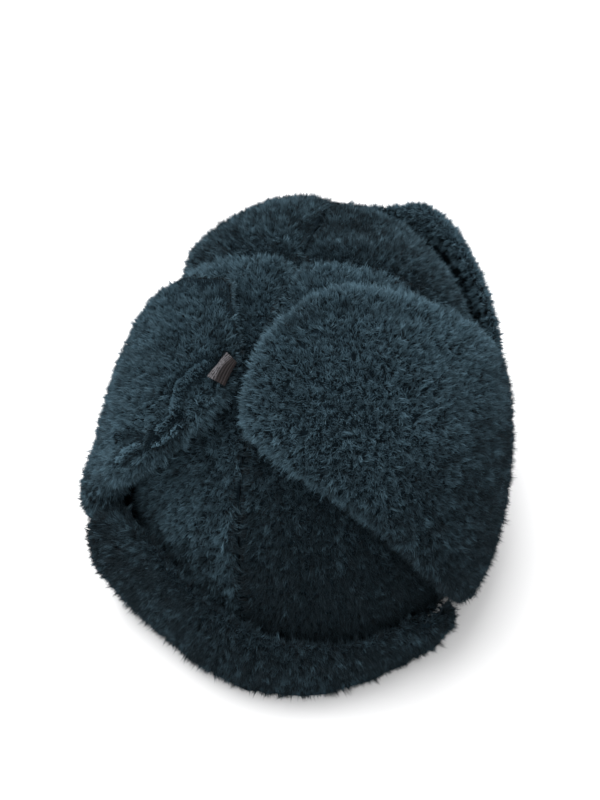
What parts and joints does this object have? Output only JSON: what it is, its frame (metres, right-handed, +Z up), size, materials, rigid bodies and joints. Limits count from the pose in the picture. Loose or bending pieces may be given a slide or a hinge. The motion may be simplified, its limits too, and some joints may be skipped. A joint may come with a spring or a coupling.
{
  "type": "ushanka",
  "caption": "Soft pile winter hat with a domed panelled crown, rolled nape band, padded ear flaps and a front visor turned up, and a fastening tab at the flap tips.",
  "frame": {"origin": "middle of the hat's outline on the plane that the rim rests on", "axes": "+Z up out of the crown, -Y towards the front visor, +X towards the wearer's left ear"},
  "size_m": [0.2038, 0.2502, 0.1634],
  "materials": {
    "pile": "dense blue-black pile, matte with a soft sheen",
    "tape": "woven brown tape with fine ribs"
  },
  "bodies": {
    "root": {"crown_panel_back_left": "pile", "crown_panel_back_right": "pile", "crown_panel_front_left": "pile", "crown_panel_front_right": "pile", "nape_band": "pile", "ear_flap_right": "pile", "ear_flap_left": "pile", "front_visor": "pile", "fastening_tape": "tape"}
  },
  "joints": []
}
